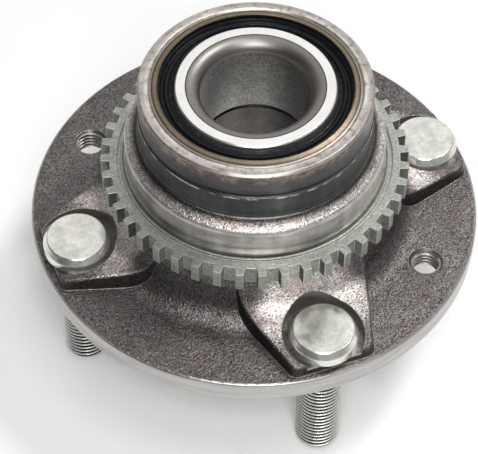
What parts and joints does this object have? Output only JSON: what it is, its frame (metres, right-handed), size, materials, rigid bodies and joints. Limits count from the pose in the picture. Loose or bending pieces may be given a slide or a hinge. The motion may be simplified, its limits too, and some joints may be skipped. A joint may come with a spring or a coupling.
{
  "type": "wheel hub bearing",
  "caption": "Wheel hub bearing: flanged rotating outer ring with wheel studs and a toothed sensor ring, on a split inner ring with caged balls and seals.",
  "frame": {"origin": "centre of the machined wheel face, on the axis of rotation", "axes": "+Z along the axis of rotation, inboard, away from the wheel; the wheel studs stand on the X and Y axes"},
  "size_m": [0.1206, 0.1206, 0.088],
  "materials": {
    "forging": "forged scale with turned faces",
    "tone_ring_steel": "matt zinc",
    "ring_steel": "ground",
    "cage_plastic": "moulded polyamide",
    "seal_steel": "yellow passivated",
    "seal_rubber": "moulded",
    "ball_steel": "polished",
    "stud_zinc": "bright zinc"
  },
  "bodies": {
    "inner_rings": {"inner_ring_inboard": "ring_steel", "inner_ring_outboard": "ring_steel"},
    "hub": {"hub_flange": "forging", "tone_ring": "tone_ring_steel", "wheel_stud_01": "stud_zinc", "wheel_stud_02": "stud_zinc", "wheel_stud_03": "stud_zinc", "wheel_stud_04": "stud_zinc", "seal_case_inboard": "seal_steel", "seal_lip_inboard": "seal_rubber", "seal_case_outboard": "seal_steel", "seal_lip_outboard": "seal_rubber"},
    "cage_inboard": {"cage_inboard": "cage_plastic"},
    "ball_inboard_01": {"ball_inboard_01": "ball_steel"},
    "ball_inboard_02": {"ball_inboard_02": "ball_steel"},
    "ball_inboard_03": {"ball_inboard_03": "ball_steel"},
    "ball_inboard_04": {"ball_inboard_04": "ball_steel"},
    "ball_inboard_05": {"ball_inboard_05": "ball_steel"},
    "ball_inboard_06": {"ball_inboard_06": "ball_steel"},
    "ball_inboard_07": {"ball_inboard_07": "ball_steel"},
    "ball_inboard_08": {"ball_inboard_08": "ball_steel"},
    "ball_inboard_09": {"ball_inboard_09": "ball_steel"},
    "ball_inboard_10": {"ball_inboard_10": "ball_steel"},
    "ball_inboard_11": {"ball_inboard_11": "ball_steel"},
    "cage_outboard": {"cage_outboard": "cage_plastic"},
    "ball_outboard_01": {"ball_outboard_01": "ball_steel"},
    "ball_outboard_02": {"ball_outboard_02": "ball_steel"},
    "ball_outboard_03": {"ball_outboard_03": "ball_steel"},
    "ball_outboard_04": {"ball_outboard_04": "ball_steel"},
    "ball_outboard_05": {"ball_outboard_05": "ball_steel"},
    "ball_outboard_06": {"ball_outboard_06": "ball_steel"},
    "ball_outboard_07": {"ball_outboard_07": "ball_steel"},
    "ball_outboard_08": {"ball_outboard_08": "ball_steel"},
    "ball_outboard_09": {"ball_outboard_09": "ball_steel"},
    "ball_outboard_10": {"ball_outboard_10": "ball_steel"},
    "ball_outboard_11": {"ball_outboard_11": "ball_steel"}
  },
  "joints": [
    {"name": "hub_spin", "type": "hinge", "parent": "inner_rings", "child": "hub", "pos_m": [0, 0, 0], "axis": [0, 0, 1], "continuous": true},
    {"name": "cage_inboard_spin", "type": "hinge", "parent": "inner_rings", "child": "cage_inboard", "pos_m": [0, 0, 0.0398], "axis": [0, 0, 1], "continuous": true},
    {"name": "ball_inboard_01_roll", "type": "hinge", "parent": "cage_inboard", "child": "ball_inboard_01", "pos_m": [0.0222, 0, 0.0398], "axis": [0.6428, 0, 0.766], "continuous": true},
    {"name": "ball_inboard_02_roll", "type": "hinge", "parent": "cage_inboard", "child": "ball_inboard_02", "pos_m": [0.01868, 0.012, 0.0398], "axis": [0.5407, 0.3475, 0.766], "continuous": true},
    {"name": "ball_inboard_03_roll", "type": "hinge", "parent": "cage_inboard", "child": "ball_inboard_03", "pos_m": [0.00922, 0.02019, 0.0398], "axis": [0.267, 0.5847, 0.766], "continuous": true},
    {"name": "ball_inboard_04_roll", "type": "hinge", "parent": "cage_inboard", "child": "ball_inboard_04", "pos_m": [-0.00316, 0.02197, 0.0398], "axis": [-0.0915, 0.6362, 0.766], "continuous": true},
    {"name": "ball_inboard_05_roll", "type": "hinge", "parent": "cage_inboard", "child": "ball_inboard_05", "pos_m": [-0.01454, 0.01678, 0.0398], "axis": [-0.4209, 0.4858, 0.766], "continuous": true},
    {"name": "ball_inboard_06_roll", "type": "hinge", "parent": "cage_inboard", "child": "ball_inboard_06", "pos_m": [-0.0213, 0.00625, 0.0398], "axis": [-0.6168, 0.1811, 0.766], "continuous": true},
    {"name": "ball_inboard_07_roll", "type": "hinge", "parent": "cage_inboard", "child": "ball_inboard_07", "pos_m": [-0.0213, -0.00625, 0.0398], "axis": [-0.6168, -0.1811, 0.766], "continuous": true},
    {"name": "ball_inboard_08_roll", "type": "hinge", "parent": "cage_inboard", "child": "ball_inboard_08", "pos_m": [-0.01454, -0.01678, 0.0398], "axis": [-0.4209, -0.4858, 0.766], "continuous": true},
    {"name": "ball_inboard_09_roll", "type": "hinge", "parent": "cage_inboard", "child": "ball_inboard_09", "pos_m": [-0.00316, -0.02197, 0.0398], "axis": [-0.0915, -0.6362, 0.766], "continuous": true},
    {"name": "ball_inboard_10_roll", "type": "hinge", "parent": "cage_inboard", "child": "ball_inboard_10", "pos_m": [0.00922, -0.02019, 0.0398], "axis": [0.267, -0.5847, 0.766], "continuous": true},
    {"name": "ball_inboard_11_roll", "type": "hinge", "parent": "cage_inboard", "child": "ball_inboard_11", "pos_m": [0.01868, -0.012, 0.0398], "axis": [0.5407, -0.3475, 0.766], "continuous": true},
    {"name": "cage_outboard_spin", "type": "hinge", "parent": "inner_rings", "child": "cage_outboard", "pos_m": [0, 0, 0.0188], "axis": [0, 0, 1], "continuous": true},
    {"name": "ball_outboard_01_roll", "type": "hinge", "parent": "cage_outboard", "child": "ball_outboard_01", "pos_m": [0.0222, 0, 0.0188], "axis": [-0.6428, 0, 0.766], "continuous": true},
    {"name": "ball_outboard_02_roll", "type": "hinge", "parent": "cage_outboard", "child": "ball_outboard_02", "pos_m": [0.01868, 0.012, 0.0188], "axis": [-0.5407, -0.3475, 0.766], "continuous": true},
    {"name": "ball_outboard_03_roll", "type": "hinge", "parent": "cage_outboard", "child": "ball_outboard_03", "pos_m": [0.00922, 0.02019, 0.0188], "axis": [-0.267, -0.5847, 0.766], "continuous": true},
    {"name": "ball_outboard_04_roll", "type": "hinge", "parent": "cage_outboard", "child": "ball_outboard_04", "pos_m": [-0.00316, 0.02197, 0.0188], "axis": [0.0915, -0.6362, 0.766], "continuous": true},
    {"name": "ball_outboard_05_roll", "type": "hinge", "parent": "cage_outboard", "child": "ball_outboard_05", "pos_m": [-0.01454, 0.01678, 0.0188], "axis": [0.4209, -0.4858, 0.766], "continuous": true},
    {"name": "ball_outboard_06_roll", "type": "hinge", "parent": "cage_outboard", "child": "ball_outboard_06", "pos_m": [-0.0213, 0.00625, 0.0188], "axis": [0.6168, -0.1811, 0.766], "continuous": true},
    {"name": "ball_outboard_07_roll", "type": "hinge", "parent": "cage_outboard", "child": "ball_outboard_07", "pos_m": [-0.0213, -0.00625, 0.0188], "axis": [0.6168, 0.1811, 0.766], "continuous": true},
    {"name": "ball_outboard_08_roll", "type": "hinge", "parent": "cage_outboard", "child": "ball_outboard_08", "pos_m": [-0.01454, -0.01678, 0.0188], "axis": [0.4209, 0.4858, 0.766], "continuous": true},
    {"name": "ball_outboard_09_roll", "type": "hinge", "parent": "cage_outboard", "child": "ball_outboard_09", "pos_m": [-0.00316, -0.02197, 0.0188], "axis": [0.0915, 0.6362, 0.766], "continuous": true},
    {"name": "ball_outboard_10_roll", "type": "hinge", "parent": "cage_outboard", "child": "ball_outboard_10", "pos_m": [0.00922, -0.02019, 0.0188], "axis": [-0.267, 0.5847, 0.766], "continuous": true},
    {"name": "ball_outboard_11_roll", "type": "hinge", "parent": "cage_outboard", "child": "ball_outboard_11", "pos_m": [0.01868, -0.012, 0.0188], "axis": [-0.5407, 0.3475, 0.766], "continuous": true}
  ],
  "couplings": [
    {"joint": "cage_inboard_spin", "follows": "hub_spin", "ratio": 0.58627},
    {"joint": "ball_inboard_01_roll", "follows": "hub_spin", "ratio": 2.1539},
    {"joint": "ball_inboard_02_roll", "follows": "hub_spin", "ratio": 2.1539},
    {"joint": "ball_inboard_03_roll", "follows": "hub_spin", "ratio": 2.1539},
    {"joint": "ball_inboard_04_roll", "follows": "hub_spin", "ratio": 2.1539},
    {"joint": "ball_inboard_05_roll", "follows": "hub_spin", "ratio": 2.1539},
    {"joint": "ball_inboard_06_roll", "follows": "hub_spin", "ratio": 2.1539},
    {"joint": "ball_inboard_07_roll", "follows": "hub_spin", "ratio": 2.1539},
    {"joint": "ball_inboard_08_roll", "follows": "hub_spin", "ratio": 2.1539},
    {"joint": "ball_inboard_09_roll", "follows": "hub_spin", "ratio": 2.1539},
    {"joint": "ball_inboard_10_roll", "follows": "hub_spin", "ratio": 2.1539},
    {"joint": "ball_inboard_11_roll", "follows": "hub_spin", "ratio": 2.1539},
    {"joint": "cage_outboard_spin", "follows": "hub_spin", "ratio": 0.58627},
    {"joint": "ball_outboard_01_roll", "follows": "hub_spin", "ratio": 2.1539},
    {"joint": "ball_outboard_02_roll", "follows": "hub_spin", "ratio": 2.1539},
    {"joint": "ball_outboard_03_roll", "follows": "hub_spin", "ratio": 2.1539},
    {"joint": "ball_outboard_04_roll", "follows": "hub_spin", "ratio": 2.1539},
    {"joint": "ball_outboard_05_roll", "follows": "hub_spin", "ratio": 2.1539},
    {"joint": "ball_outboard_06_roll", "follows": "hub_spin", "ratio": 2.1539},
    {"joint": "ball_outboard_07_roll", "follows": "hub_spin", "ratio": 2.1539},
    {"joint": "ball_outboard_08_roll", "follows": "hub_spin", "ratio": 2.1539},
    {"joint": "ball_outboard_09_roll", "follows": "hub_spin", "ratio": 2.1539},
    {"joint": "ball_outboard_10_roll", "follows": "hub_spin", "ratio": 2.1539},
    {"joint": "ball_outboard_11_roll", "follows": "hub_spin", "ratio": 2.1539}
  ]
}
